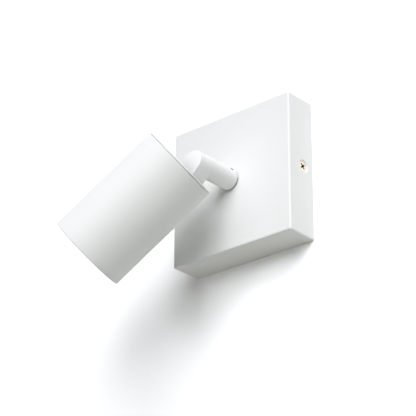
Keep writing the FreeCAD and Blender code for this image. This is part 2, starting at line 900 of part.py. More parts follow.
def holder_leads():
    leads = []
    for side in (-1, 1):
        y = side * lead_pitch / 2
        entry = holder_depth + holder_lead_depth
        points = [
            Vector(pivot_offset, y, pivot_depth + tilt_bolt_r + lead_gap_at_pin),
            Vector(pivot_offset, y, entry),
            Vector(holder_r - holder_lead_hole + thread_gap, y, entry),
        ]
        leads.append(bent_rod(points, lead_r))
    return leads


def lamp_housing():
    rim_r = lamp_diameter / 2
    shoulder_r = rim_r - lamp_rim_step
    shoulder = lamp_body_length - lamp_rim_length
    lens_r = rim_r - lamp_lip
    lens_back = lamp_body_length - lens_sink - lens_thickness
    board_r = lens_r - board_step
    floor = lens_back - board_space
    neck_end = Vector(lamp_neck_r, 0, lamp_neck_length)
    rim_start = Vector(shoulder_r, 0, shoulder)
    chord = rim_start - neck_end
    bulge = Vector(chord.z, 0, -chord.x).normalize() * lamp_bulge
    flare = Part.Arc(neck_end, (neck_end + rim_start) / 2 + bulge, rim_start).toShape()
    corners = [
        rim_start,
        Vector(rim_r, 0, shoulder),
        Vector(rim_r, 0, lamp_body_length - lamp_edge_r),
        Vector(rim_r - lamp_edge_r, 0, lamp_body_length),
        Vector(lens_r, 0, lamp_body_length),
        Vector(lens_r, 0, lens_back),
        Vector(board_r, 0, lens_back),
        Vector(board_r, 0, floor),
        Vector(0, 0, floor),
        Vector(0, 0, 0),
        Vector(lamp_base_r - lamp_edge_r, 0, 0),
        Vector(lamp_base_r, 0, lamp_edge_r),
        neck_end,
    ]
    edges = [Part.LineSegment(a, b).toShape() for a, b in zip(corners, corners[1:])]
    face = Part.Face(Part.Wire(Part.__sortEdges__(edges + [flare])))
    return face.revolve(Vector(0, 0, 0), Z, 360)


def lamp_lens():
    radius = lamp_diameter / 2 - lamp_lip - thread_gap
    front = lamp_body_length - lens_sink
    back = front - lens_thickness
    edge = front - lens_dome
    sphere_r = (radius ** 2 + lens_dome ** 2) / (2 * lens_dome)
    half = math.asin(radius / sphere_r) / 2
    middle = Vector(sphere_r * math.sin(half), 0, front - sphere_r + sphere_r * math.cos(half))
    dome = Part.Arc(Vector(radius, 0, edge), middle, Vector(0, 0, front))
    corners = [Vector(0, 0, front), Vector(0, 0, back), Vector(radius, 0, back), Vector(radius, 0, edge)]
    edges = [Part.LineSegment(a, b).toShape() for a, b in zip(corners, corners[1:])]
    face = Part.Face(Part.Wire(Part.__sortEdges__(edges + [dome.toShape()])))
    return face.revolve(Vector(0, 0, 0), Z, 360)


def lamp_board():
    floor = lamp_body_length - lens_sink - lens_thickness - board_space
    top = floor + board_thickness
    board = rod(lamp_diameter / 2 - lamp_lip - board_step - thread_gap, floor, top)
    half = chip_side / 2
    chips = []
    for place in around(chip_count, chip_ring) + [Vector(0, 0, 0)]:
        chip_x = (place.x - half, place.x + half)
        chip_y = (place.y - half, place.y + half)
        chips.append(block(chip_x, chip_y, (top, top + chip_height)))
    return board.fuse(chips)


def lamp_pins():
    profile = [
        (0, 0, 0),
        (pin_neck_r, 0, 0),
        (pin_neck_r, -pin_neck_length, 0),
        (pin_head_r, -pin_neck_length, 0),
        (pin_head_r, -pin_length, pin_edge_r),
        (0, -pin_length, 0),
    ]
    return [turned(profile).translated(place) for place in around(2, pin_ring, pin_rest_deg)]


PIECES = [
    (wall_frame, [
        wall_bracket,
        base_cover,
        cover_screws,
        cable_grommet,
        terminal_block,
        terminal_clamps,
        terminal_screws,
        terminal_fixing_screw,
        earth_screw,
        earth_washer,
        earth_ring,
        earth_lead,
        base_leads,
        swivel_nipple,
        swivel_nut,
        swivel_lock_washer,
        swivel_friction_washer,
    ]),
    (arm_frame, [arm, arm_grub_screw, arm_lead_sleeve]),
    (head_frame, [
        head_tube,
        rear_cap,
        tilt_bracket,
        bracket_screws,
        tilt_bolt,
        tilt_nut,
        tilt_washers,
        lamp_holder,
        holder_contacts,
        holder_screws,
        holder_leads,
    ]),
    (lamp_frame, [lamp_housing, lamp_board, lamp_lens, lamp_pins]),
]


def build():
    """Write one STEP file for each piece, in its place."""
    os.makedirs("parts", exist_ok=True)
    for frame, makers in PIECES:
        for maker in makers:
            shape = maker()
            if isinstance(shape, list):
                shape = Part.makeCompound(shape)
            shape = shape.transformed(frame.toMatrix())
            shape.exportStep("parts/" + maker.__name__ + ".step")


build()
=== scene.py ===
import json
import math

import bmesh
import bpy
import numpy as np
from mathutils import Matrix, Vector


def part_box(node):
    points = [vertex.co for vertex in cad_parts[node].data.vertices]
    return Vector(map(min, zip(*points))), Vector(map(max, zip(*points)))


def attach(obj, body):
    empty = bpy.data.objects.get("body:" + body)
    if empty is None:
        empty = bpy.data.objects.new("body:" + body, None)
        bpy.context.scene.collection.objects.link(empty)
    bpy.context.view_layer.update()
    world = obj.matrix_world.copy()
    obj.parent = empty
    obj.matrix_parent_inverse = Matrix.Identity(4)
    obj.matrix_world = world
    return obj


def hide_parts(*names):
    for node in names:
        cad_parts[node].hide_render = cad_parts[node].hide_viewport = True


# Wall spotlight in metres. X points right, Y into the wall, Z up.
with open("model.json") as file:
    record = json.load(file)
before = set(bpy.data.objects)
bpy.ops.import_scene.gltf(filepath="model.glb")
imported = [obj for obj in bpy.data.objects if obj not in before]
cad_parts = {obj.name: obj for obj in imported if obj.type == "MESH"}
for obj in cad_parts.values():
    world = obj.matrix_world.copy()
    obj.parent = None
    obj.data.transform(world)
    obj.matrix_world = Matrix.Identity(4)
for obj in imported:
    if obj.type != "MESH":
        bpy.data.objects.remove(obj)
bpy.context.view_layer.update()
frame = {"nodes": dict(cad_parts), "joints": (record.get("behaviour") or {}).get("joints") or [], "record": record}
MM = 0.001

# Camera, turned about the plate's front centre: angles in degrees, and its place in its own axes.
camera_azimuth = 40.99
camera_elevation = -25.12
camera_roll = 0.26
camera_from_plate = Vector((-0.01483, -0.01837, 1.1774))
camera_lens = 153.72

# Studio: four soft lamps in front, one behind for the open back, a pale wall and a pale floor.
# Each lamp has its name, its turn to the right and its rise in degrees, its side, and its power.
lamps = (
    ("front_lamp", -3.0, 16.0, 1.0, 10.5),
    ("right_lamp", 33.0, 20.0, 1.4, 37.2),
    ("high_lamp", 28.0, 50.0, 1.4, 33.4),
    ("side_lamp", 60.0, 33.0, 0.9, 7.5),
    ("back_lamp", 205.0, 30.0, 1.2, 30.0),
)
lamp_distance = 2.5
lamp_colour = (0.967, 0.978, 1.0)
lamp_aim = Vector((-0.02, -0.04, -0.02))
ambient_colour = (0.035, 0.036, 0.029, 1.0)
background_colour = (1.0, 1.0, 1.0, 1.0)

# Wall and floor light the object with their paint, and are seen paler, so that the background is white.
# The wall's hole stays just inside the outline of the plate, and the wall just behind its back.
wall_paint = (0.77, 0.77, 0.76, 1.0)
wall_seen = (1.30, 1.305, 1.33, 1.0)
wall_half_width = 0.7
wall_hole_inset = 0.05 * MM
wall_behind = 0.02 * MM
floor_paint = (0.68, 0.67, 0.59, 1.0)
floor_seen = (4.0, 4.0, 4.0, 1.0)
floor_half_width = 1.4
floor_below = 1.2
square_corners = ((-1, -1), (1, -1), (1, 1), (-1, 1))

# Rays for which wall, floor and world are paler.
ray_kinds = ("Camera", "Glossy", "Transmission")

# Detail of a fine grain.
fine_detail = 3.0

# White coat: its two tones, the widths of their drift, of the orange peel and of the grain, the share of
# the peel in the relief, and the depth of the relief.
coat_tones = ((0.785, 0.795, 0.795, 1), (0.81, 0.815, 0.81, 1))
coat_drift = 45 * MM
coat_peel = 0.9 * MM
coat_grain = 0.16 * MM
coat_peel_share = 0.75
coat_relief = 0.012 * MM
coat_roughness = 0.46
coat_ior = 1.36
# Painted shade: near black on the walls of a hole in the coat.
painted_hole_shade = (0.05, 0.045, 0.04, 1)

# Other finishes: the widths of their clouds and of their grain, and the depth of their relief. Insulation
# has a darker tone, which is a share of the paler one.
metal_cloud = 6 * MM
metal_grain = 0.25 * MM
metal_relief = 0.004 * MM
moulded_cloud = 9 * MM
moulded_grain = 0.5 * MM
moulded_relief = 0.006 * MM
insulation_cloud = 3 * MM
insulation_relief = 0.02 * MM
insulation_dark_share = 0.85

# Head tube. The gap between it and the rear cap closes towards one side, by the slant at most: there the
# outer band of its rear end reaches further back.
tube_edge_r = 0.63 * MM
tube_inner_edge_r = 0.45 * MM
gap_closes_towards = (-0.33, -0.69, 0.65)
gap_slant = 0.60 * MM
gap_band = 0.85 * MM

# Side screws of the cover: countersunk head, cross recess and threaded shank.
side_shank_r = 2.0 * MM
side_screw_length = 7.0 * MM
side_head_rim = 0.25 * MM
side_head_edge_r = 0.08 * MM
side_neck_edge_r = 0.1 * MM
side_tip_edge_r = 0.3 * MM
side_pitch = 0.7 * MM
side_thread_depth = 0.38 * MM
recess_span = 4.4 * MM
recess_width = 1.15 * MM
recess_depth = 1.6 * MM
recess_lean = 0.16 * MM
recess_floor_rise = 0.6
recess_floor_power = 1.5
recess_row = 0.07 * MM
# Faces of the cross recess deeper than this get painted shade: dark brown metal.
recess_shade_from = 0.25 * MM

# Turn of the cross recess in the right (1) and the left (-1) side screw, in degrees.
recess_turns = {1: 38.0, -1: 12.0}

# Hole of the arm's set screw.
set_hole_r = 1.65 * MM

# Hollow nipple of the swivel. Its groove is as high above the plate as the set screw.
nipple_r = 5.5 * MM
nipple_bore_r = 3.7 * MM
nipple_pitch = 1.0 * MM
nipple_thread_depth = 0.5 * MM
nipple_end_edge_r = 0.25 * MM
nipple_corner_r = 0.05 * MM
collar_height = 0.5 * MM
collar_edge_r = 0.1 * MM
groove_r = 4.7 * MM
groove_edge_r = 0.1 * MM
groove_span = (3.4 * MM, 7.0 * MM)

# Lock washer: its teeth, the band in which they stand, and how sharply they are cut.
washer_teeth = 14
washer_tooth = 1.1 * MM
washer_band = 1.6 * washer_tooth
washer_cut = 1.4
washer_sheet = 0.6 * MM
washer_edge_r = 0.08 * MM
washer_row = 0.25 * MM

# Radius of a lead.
lead_r = 0.9 * MM

# Lens of the lamp, its light sources with a bulge of the lens over each, and the board they stand on.
lens_dome = 0.6 * MM
lens_front_rows = 40
lens_back_rows = 80
cell_count = 6
cell_ring = 11.0 * MM
cell_r = 5.4 * MM
cell_height = 1.6 * MM
chip_side = 3.0 * MM
chip_height = 0.7 * MM
chip_edge = 0.1 * MM
chip_sides = 48
chip_squareness = 9
board_edge_r = 0.15 * MM
phosphor_side = 2.3 * MM
phosphor_sink = 0.12 * MM
phosphor_lean = 0.05 * MM

# Meshes: sides of a round piece and of a finer one, rows in a pitch of a thread, steps of a rounding,
# distance within which points are one, and distance of the rows that keep a face flat from its edges.
round_sides = 144
fine_sides = 2 * round_sides
pitch_rows = 8
arc_steps = 6
weld_reach = 0.0005 * MM
hold = 0.12 * MM


def unit(vector):
    """The vector at length one."""
    return np.asarray(vector, float) / np.linalg.norm(vector)


class Axes:
    """A local frame: an origin, and unit axes x, y and z as the rows of a matrix."""

    def __init__(self, origin, y, z):
        self.origin = np.asarray(origin, float)
        self.rows = np.stack([np.cross(unit(y), unit(z)), unit(y), unit(z)])

    def out(self, points):
        """Local points as places on the object."""
        return self.origin + points @ self.rows

    def into(self, points):
        """Places on the object as local points."""
        return (points - self.origin) @ self.rows.T


joints = {joint["name"]: joint for joint in frame["joints"]}
pin = -np.array(joints["head_tilt"]["axis"])
beam = np.array(joints["lamp_twist"]["axis"])
outward = np.array(joints["arm_swivel"]["axis"])
wall_axes = Axes((0, 0, 0), (0, 0, 1), outward)
arm_axes = Axes(joints["arm_swivel"]["pos_m"], pin, outward)
head_axes = Axes(joints["lamp_twist"]["pos_m"], pin, beam)


class Socket:
    """An output of a shader node. Sums, products and comparisons with it add Math nodes, and so does |,
    which takes the larger of two."""

    def __init__(self, finish, socket):
        self.finish = finish
        self.socket = socket

    def math(self, operation, *values):
        """A Math node of these values."""
        return self.finish.add("ShaderNodeMath", {"operation": operation}, dict(enumerate(values)))

    def __add__(self, other):
        return self.math("ADD", self, other)

    def __mul__(self, other):
        return self.math("MULTIPLY", self, other)

    def __gt__(self, other):
        return self.math("GREATER_THAN", self, other)

    def __lt__(self, other):
        return self.math("LESS_THAN", self, other)

    def __or__(self, other):
        return self.math("MAXIMUM", self, other)

    __radd__ = __add__
    __rmul__ = __mul__
    __ror__ = __or__


class Finish:
    """A material, or the world, built from nodes. Its patterns read places on the object."""

    def __init__(self, owner):
        owner.use_nodes = True
        self.owner = owner
        self.tree = owner.node_tree
        self.tree.nodes.clear()

    def add(self, kind, settings=None, inputs=None, output=0):
        """Add a node: first its settings, then the values or links of its sockets."""
        node = self.tree.nodes.new(kind)
        for name, value in (settings or {}).items():
            setattr(node, name, value)
        for name, value in (inputs or {}).items():
            if isinstance(value, Socket):
                self.tree.links.new(value.socket, node.inputs[name])
            else:
                node.inputs[name].default_value = value
        return Socket(self, node.outputs[output]) if len(node.outputs) else node

    def place(self):
        """Where on the object a point lies, in metres."""
        return self.add("ShaderNodeTexCoord", output="Object")

    def vector(self, operation, *values, output=0):
        """A Vector Math node of these values."""
        return self.add("ShaderNodeVectorMath", {"operation": operation}, dict(enumerate(values)), output)

    def mix(self, factor, first, second):
        """Colour between two others."""
        return self.add("ShaderNodeMix", {"data_type": "RGBA"}, {0: factor, 6: first, 7: second}, 2)

    def noise(self, size, detail=2.0, stretch=(1.0, 1.0, 1.0)):
        """Cloudy pattern from 0 to 1 whose blobs are about as wide as size, in metres."""
        scaled = self.add("ShaderNodeMapping", None, {"Vector": self.place(), "Scale": stretch})
        values = {"Vector": scaled, "Scale": 1 / size, "Detail": detail}
        return self.add("ShaderNodeTexNoise", None, values)

    def along(self, direction, origin):
        """Distance of a place from a plane through origin, square to the direction."""
        offset = self.vector("SUBTRACT", self.place(), origin)
        return self.vector("DOT_PRODUCT", offset, direction, output="Value")

    def inside(self, start, direction, radius):
        """1 in a round hole that leads from start in a direction of length one, 0 elsewhere."""
        across = self.vector("CROSS_PRODUCT", self.vector("SUBTRACT", self.place(), start), direction)
        distance = self.vector("LENGTH", across, output="Value")
        return (self.along(direction, start) > 0.0) * (radius > distance)

    def bump(self, height, depth):
        """Normal of a surface whose relief is height, from 0 to 1, times depth in metres."""
        return self.add("ShaderNodeBump", None, {"Strength": 1.0, "Distance": depth, "Height": height})

    def seen(self):
        """1 for the camera, in mirrors and through glass; 0 for light on matt surfaces."""
        rays = [self.add("ShaderNodeLightPath", output=f"Is {kind} Ray") for kind in ray_kinds]
        return rays[0] | rays[1] | rays[2]

    def end(self, **inputs):
        """Finish with a Principled shader, whose sockets are named with _ for spaces."""
        named = {name.replace("_", " "): value for name, value in inputs.items()}
        shader = self.add("ShaderNodeBsdfPrincipled", None, named)
        self.add("ShaderNodeOutputMaterial", None, {"Surface": shader})
        return self.owner


def new_finish(name):
    """A new material of that name, still empty."""
    return Finish(bpy.data.materials.new(name))


def grey(level):
    """An even grey."""
    return (level, level, level, 1.0)


def powder_coat(name="white_powder_coat", hole=None):
    """Satin white powder coat: orange peel, fine grain, and a faint drift of its tone. The walls of a hole
    (start, direction, radius) get a painted shade, near black."""
    coat = new_finish(name)
    drift = coat.noise(coat_drift)
    peel = coat.noise(coat_peel)
    grain = coat.noise(coat_grain, fine_detail)
    colour = coat.mix(drift, *coat_tones)
    # Painted shade: the walls of the hole are near black.
    if hole:
        colour = coat.mix(coat.inside(*hole), colour, painted_hole_shade)
    relief = peel * coat_peel_share + grain * (1 - coat_peel_share)
    return coat.end(
        Base_Color=colour,
        Roughness=coat_roughness + grain * 0.10,
        Normal=coat.bump(relief, coat_relief),
        IOR=coat_ior,
    )


def metal(name, dark, light, roughness):
    """Plated metal: two tones in clouds and fine streaks, with a little relief."""
    plate = new_finish(name)
    cloud = plate.noise(metal_cloud)
    streak = plate.noise(metal_grain, fine_detail, stretch=(1.0, 1.0, 6.0))
    return plate.end(
        Base_Color=plate.mix(cloud * 0.6 + streak * 0.4, dark, light),
        Metallic=1.0,
        Roughness=roughness + streak * 0.18,
        Normal=plate.bump(streak, metal_relief),
    )


def moulded(name, dark, light, roughness):
    """Moulded plastic, rubber or ceramic: a matt skin with a fine grain."""
    skin = new_finish(name)
    cloud = skin.noise(moulded_cloud)
    pits = skin.noise(moulded_grain, fine_detail)
    return skin.end(
        Base_Color=skin.mix(cloud, dark, light),
        Roughness=roughness + pits * 0.12,
        Normal=skin.bump(pits, moulded_relief),
    )


def two_colours(name, first, second, direction, origin):
    """Insulation whose colour changes at a plane, as on two leads side by side or on a striped one."""
    skin = new_finish(name)
    side = skin.along(tuple(direction), tuple(origin)) > 0.0
    shade = skin.noise(insulation_cloud)
    colours = []
    for hue in (first, second):
        darker = tuple(insulation_dark_share * part for part in hue)
        colours.append(skin.mix(shade, darker + (1,), hue + (1,)))
    return skin.end(
        Base_Color=skin.mix(side, *colours),
        Roughness=0.42 + shade * 0.1,
        Normal=skin.bump(shade, insulation_relief),
    )


def glass_sleeve():
    """Sleeve of woven glass yarn."""
    sleeve = new_finish("sleeve")
    weave = sleeve.noise(size=0.45 * MM, detail=1.0, stretch=(1.0, 0.4, 1.0))
    return sleeve.end(
        Base_Color=sleeve.mix(weave, (0.70, 0.67, 0.58, 1), (0.84, 0.82, 0.75, 1)),
        Roughness=0.75,
        Normal=sleeve.bump(weave, depth=0.05 * MM),
    )


def clear_lens():
    """Clear moulded lens."""
    lens = new_finish("clear_lens")
    frost = lens.noise(size=0.8 * MM)
    return lens.end(
        Base_Color=(0.97, 0.98, 0.99, 1),
        Roughness=0.04 + frost * 0.08,
        IOR=1.49,
        Transmission_Weight=1.0,
        Alpha=0.45,
    )


def make_finishes():
    """The finish of every material slot of the record. A metal or a moulded finish has a darker tone, a
    paler tone and a roughness."""
    return {
        "white_powder_coat": powder_coat(),
        "zinc_steel": metal("zinc_steel", (0.50, 0.51, 0.53, 1), (0.63, 0.65, 0.68, 1), 0.28),
        "brass": metal("brass", (0.62, 0.43, 0.17, 1), (0.76, 0.56, 0.26, 1), 0.26),
        "nickel_brass": metal("nickel_brass", (0.60, 0.53, 0.42, 1), (0.69, 0.62, 0.52, 1), 0.36),
        "white_ceramic": moulded("white_ceramic", (0.78, 0.76, 0.70, 1), (0.84, 0.82, 0.77, 1), 0.36),
        "terminal_plastic": moulded(
            "terminal_plastic", (0.74, 0.73, 0.67, 1), (0.80, 0.79, 0.74, 1), 0.38
        ),
        "black_rubber": moulded("black_rubber", grey(0.02), grey(0.035), 0.62),
        # Black nylon: its own colour, and also dark to paint the shade in the gap at the arm's foot.
        "nylon": moulded("nylon", grey(0.045), grey(0.07), 0.5),
        "sleeve": glass_sleeve(),
        "lamp_body": moulded("lamp_body", grey(0.78), grey(0.82), 0.34),
        "lamp_board": moulded("lamp_board", grey(0.80), grey(0.85), 0.5),
        "clear_lens": clear_lens(),
    }


def set_screw_hole():
    """Start, direction and radius of the arm's hole for its set screw, from the middle of that screw."""
    low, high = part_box("arm_grub_screw")
    local = arm_axes.into(np.array((low + high) / 2))
    start = arm_axes.out(local * (0, 0, 1))
    direction = unit(local * (1, 1, 0)) @ arm_axes.rows
    return tuple(start), tuple(direction), set_hole_r


def node_finishes():
    """Finishes of single nodes: leads that differ in colour, the blackened set screw, and painted shade in its
    hole.
    """
    brown, blue = (0.17, 0.07, 0.03), (0.035, 0.18, 0.48)
    green, yellow = (0.05, 0.33, 0.06), (0.80, 0.62, 0.03)
    low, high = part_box("earth_lead")
    middle = (low + high) / 2
    run = high.x - low.x - 2 * lead_r
    rise = high.y - low.y - 2 * lead_r
    across = unit((rise, -run, 0))
    return {
        # The arm's coat, with painted shade in the hole of its set screw.
        "arm": powder_coat("arm_coat", set_screw_hole()),
        "arm_grub_screw": metal("blackened_steel", grey(0.035), grey(0.07), 0.42),
        "base_leads": two_colours("base_insulation", brown, blue, (1, 0, 0), (0, 0, 0)),
        "holder_leads": two_colours("holder_insulation", brown, blue, pin, head_axes.origin),
        "earth_lead": two_colours("earth_insulation", green, yellow, across, middle),
    }


def dress(finishes):
    """Give every node of the model its own finish, or else that of its slot."""
    own = node_finishes()
    for part in frame["record"]["subparts"]:
        node = frame["nodes"][part["node"]]
        material = own.get(part["node"]) or finishes[part["material_slot"]]
        for index in range(len(node.material_slots)):
            node.material_slots[index].material = material


def measure(node, axes):
    """Distances from the z axis and heights along it of a node's vertices."""
    vertices = frame["nodes"][node].data.vertices
    places = np.empty(len(vertices) * 3)
    vertices.foreach_get("co", places)
    local = axes.into(places.reshape(-1, 3))
    return np.hypot(local[:, 0], local[:, 1]), local[:, 2]


def outline(corners, closed):
    """Points of an outline through corners (x, y, rounding).

    A rounding is an arc that touches both sides: its middle lies on the corner's bisector, at the rounding
    over the sine of the half angle. Each side also has a point near either end, which keeps it flat."""
    places = np.array([corner[:2] for corner in corners])
    share = np.linspace(0, 1, arc_steps + 1)[:, None]
    points = []
    for index, here in enumerate(places):
        rounding = corners[index][2]
        back = unit(places[index - 1] - here)
        ahead = unit(places[(index + 1) % len(places)] - here)
        half = np.arccos(np.clip(back @ ahead, -1, 1)) / 2
        reach = rounding / np.tan(half)
        sweep = np.pi - 2 * half
        middle = here + unit(back + ahead) * rounding / np.sin(half)
        start = here + back * reach - middle
        end = here + ahead * reach - middle
        arc = (start * np.sin((1 - share) * sweep) + end * np.sin(share * sweep)) / np.sin(sweep)
        points += [here + back * (reach + hold), *(middle + arc), here + ahead * (reach + hold)]
    return np.array(points if closed else points[1:-1])


def divided(profile, spacing, low, high):
    """The profile with more points on its stretches between two heights, spacing apart or less."""
    ahead = np.diff(profile, axis=0)
    length = np.linalg.norm(ahead, axis=1)
    middle = (profile[:-1, 1] + profile[1:, 1]) / 2
    wanted = np.maximum(np.ceil(length / spacing), 1)
    parts = np.where((middle > low) & (middle < high), wanted, 1).astype(int)
    step = np.arange(parts.sum()) - np.repeat(np.cumsum(parts) - parts, parts)
    stride = np.repeat(ahead / parts[:, None], parts, axis=0)
    inner = np.repeat(profile[:-1], parts, axis=0) + stride * step[:, None]
    return np.vstack([inner, profile[-1:]])


def round_angles(sides):
    """Angles of that many points, evenly spaced round a circle."""
    return np.arange(sides) * 2 * np.pi / sides


def turned(profile, sides=round_sides, ripple=0.0, lift=0.0):
    """Grid of a surface of revolution about z: a profile point (radius, height) goes round as
    (radius cos a, radius sin a, height). ripple is added to the radius and lift to the height."""
    angle = round_angles(sides)
    radius = profile[:, :1] + ripple
    height = profile[:, 1:] + lift
    return np.stack(np.broadcast_arrays(radius * np.cos(angle), radius * np.sin(angle), height), -1)


def thread(profile, radius, low, high, pitch, depth):
    """Ripple of a thread cut into the stretch of a profile at this radius: a triangle wave of the height
    in pitches less the turn in circles. It fades out over one pitch at either end."""
    reach, height = profile[:, :1], profile[:, 1:]
    circles = np.arange(round_sides) / round_sides
    wave = np.abs((height / pitch - circles) % 1 - 0.5) * 2
    fade = np.clip(np.minimum(height - low, high - height) / pitch, 0, 1)
    return -depth * wave * fade * np.isclose(reach, radius, atol=weld_reach)


def grid_faces(rows, columns, closed):
    """Quads between neighbours of a grid whose columns close into a ring, as its rows do if closed."""
    row, column = np.meshgrid(np.arange(rows if closed else rows - 1), np.arange(columns), indexing="ij")
    below, beside = (row + 1) % rows, (column + 1) % columns
    corners = [(row, column), (row, beside), (below, beside), (below, column)]
    return np.stack([r * columns + c for r, c in corners], -1).reshape(-1, 4)


def weld(mesh):
    """Make one point of those that lie together, as at a pole, and point every face outwards."""
    shell = bmesh.new()
    shell.from_mesh(mesh)
    bmesh.ops.remove_doubles(shell, verts=shell.verts, dist=weld_reach)
    bmesh.ops.recalc_face_normals(shell, faces=shell.faces)
    shell.to_mesh(mesh)
    shell.free()


def add_mesh(name, points, faces, materials, smooth):
    """New object at the origin from vertices and faces, with its place in its mesh."""
    mesh = bpy.data.meshes.new(name)
    mesh.from_pydata(np.asarray(points).tolist(), [], np.asarray(faces).tolist())
    for material in materials:
        mesh.materials.append(material)
    mesh.polygons.foreach_set("use_smooth", np.full(len(mesh.polygons), smooth))
    piece = bpy.data.objects.new(name, mesh)
    bpy.context.scene.collection.objects.link(piece)
    return piece


def add_piece(name, body, nodes, materials, patches):
    """One piece of the light from patches (grid of places, whether its rows close, number of its finish).
    The number is one for the patch or one for each place of its grid."""
    points, faces, finish, start = [], [], [], 0
    for grid, closed, number in patches:
        rows, columns = grid.shape[:2]
        quads = grid_faces(rows, columns, closed)
        numbers = np.broadcast_to(number, (rows, columns)).reshape(-1)
        points.append(grid.reshape(-1, 3))
        faces.append(quads + start)
        finish.append(numbers[quads].max(axis=1))
        start += rows * columns
    piece = add_mesh(name, np.vstack(points), np.vstack(faces), materials, True)
    piece.data.polygons.foreach_set("material_index", np.concatenate(finish))
    weld(piece.data)
    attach(piece, body)
    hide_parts(*nodes)


def add_head_shell():
    """Tube of the head, a ring profile turned about the beam. The outer band of its rear end reaches
    further back by the slant times half of 1 + cos a, with a the angle from where the gap closes."""
    reach, height = measure("head_tube", head_axes)
    inner, outer, rear, front = reach.min(), reach.max(), height.min(), height.max()
    corners = [
        (inner, rear, tube_inner_edge_r),
        (outer, rear, tube_edge_r),
        (outer, front, tube_edge_r),
        (inner, front, tube_edge_r),
    ]
    profile = outline(corners, True)
    angle = round_angles(fine_sides)
    closing = head_axes.rows @ unit(gap_closes_towards)
    share = (1 + closing[0] * np.cos(angle) + closing[1] * np.sin(angle)) / 2
    rear_band = (profile[:, :1] > outer - gap_band) & (profile[:, 1:] < (rear + front) / 2)
    grid = turned(profile, fine_sides, lift=-gap_slant * share * rear_band)
    coat = finishes["white_powder_coat"]
    patches = [(head_axes.out(grid), True, 0)]
    add_piece("head_shell", "head", ["head_tube"], [coat], patches)


def recess_drop(grid):
    """Depth of a cross recess: each arm's walls lean in, and its floor rises towards its end."""
    x, y = np.abs(grid[..., 0]), np.abs(grid[..., 1])
    along, across = np.maximum(x, y), np.minimum(x, y)
    half_span, half_width = recess_span / 2, recess_width / 2
    wall = np.clip((half_width - across) / recess_lean, 0, 1)
    end = np.clip((half_span - along) / recess_lean, 0, 1)
    floor = 1 - recess_floor_rise * np.clip(along / half_span, 0, 1) ** recess_floor_power
    return recess_depth * wall * end * floor


def screw_grid(head_r, turn):
    """Countersunk screw, its top at z = 0: a turned profile with a recess sunk into its top rows. Places
    deep in the recess are marked 1, and get painted shade.
    """
    cone = head_r - side_shank_r + side_head_rim
    corners = [
        (0, 0, 0),
        (head_r, 0, side_head_edge_r),
        (head_r, -side_head_rim, side_head_edge_r),
        (side_shank_r, -cone, side_neck_edge_r),
        (side_shank_r, -side_screw_length, side_tip_edge_r),
        (0, -side_screw_length, 0),
    ]
    profile = divided(outline(corners, False), recess_row, -hold, hold)
    profile = divided(profile, side_pitch / pitch_rows, -side_screw_length, -cone)
    span = (side_shank_r, -side_screw_length, -cone, side_pitch, side_thread_depth)
    grid = turned(profile, ripple=thread(profile, *span))
    # Depth in the recess, which also marks where painted shade goes.
    drop = recess_drop(grid) * (profile[:, 1:] > -weld_reach)
    grid[..., 2] -= drop
    cosine = math.cos(math.radians(turn))
    sine = math.sin(math.radians(turn))
    spin = np.array([[cosine, sine, 0], [-sine, cosine, 0], [0, 0, 1]])
    return grid @ spin, (drop > recess_shade_from).astype(int)


def add_side_screws():
    """Countersunk screws in both sides of the cover, in one piece as in the model."""
    low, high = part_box("cover_screws")
    head_r = (high.z - low.z) / 2
    patches = []
    for side, turn in recess_turns.items():
        centre = (side * high.x, (low.y + high.y) / 2, (low.z + high.z) / 2)
        axes = Axes(centre, (0, 0, 1), (side, 0, 0))
        grid, in_recess = screw_grid(head_r, turn)
        patches.append((axes.out(grid), False, in_recess))
    # Painted shade in the cross recesses: dark brown metal.
    shade = metal("recess_shade", (0.035, 0.022, 0.012, 1), (0.06, 0.04, 0.02, 1), 0.6)
    materials = [finishes["nickel_brass"], shade]
    add_piece("side_screws", "base", ["cover_screws"], materials, patches)


def add_threaded_nipple():
    """Hollow nipple of the swivel: a turned ring profile with a thread cut into both ends."""
    reach, height = measure("swivel_nipple", wall_axes)
    collar_r, low, high = reach.max(), height.min(), height.max()
    foot = -joints["arm_swivel"]["pos_m"][1]
    groove_low, groove_high = (foot + height for height in groove_span)
    corners = [
        (nipple_bore_r, low, nipple_end_edge_r),
        (nipple_r, low, nipple_end_edge_r),
        (nipple_r, foot, nipple_corner_r),
        (collar_r, foot, collar_edge_r),
        (collar_r, foot + collar_height, collar_edge_r),
        (nipple_r, foot + collar_height, nipple_corner_r),
        (nipple_r, groove_low, groove_edge_r),
        (groove_r, groove_low, groove_edge_r),
        (groove_r, groove_high, groove_edge_r),
        (nipple_r, groove_high, groove_edge_r),
        (nipple_r, high, nipple_end_edge_r),
        (nipple_bore_r, high, nipple_end_edge_r),
    ]
    profile = divided(outline(corners, True), nipple_pitch / pitch_rows, low, high)
    tail = thread(profile, nipple_r, low, foot, nipple_pitch, nipple_thread_depth)
    end = thread(profile, nipple_r, groove_high, high, nipple_pitch, nipple_thread_depth)
    patches = [(wall_axes.out(turned(profile, ripple=tail + end)), True, 0)]
    # Painted shade: the nipple is near black instead of the zinc of its slot, so the gap under the arm's foot
    # looks dark.
    nipple_painted_shade = metal("nipple_painted_shade", grey(0.03), grey(0.05), 0.5)
    add_piece("threaded_nipple", "base", ["swivel_nipple"], [nipple_painted_shade], patches)


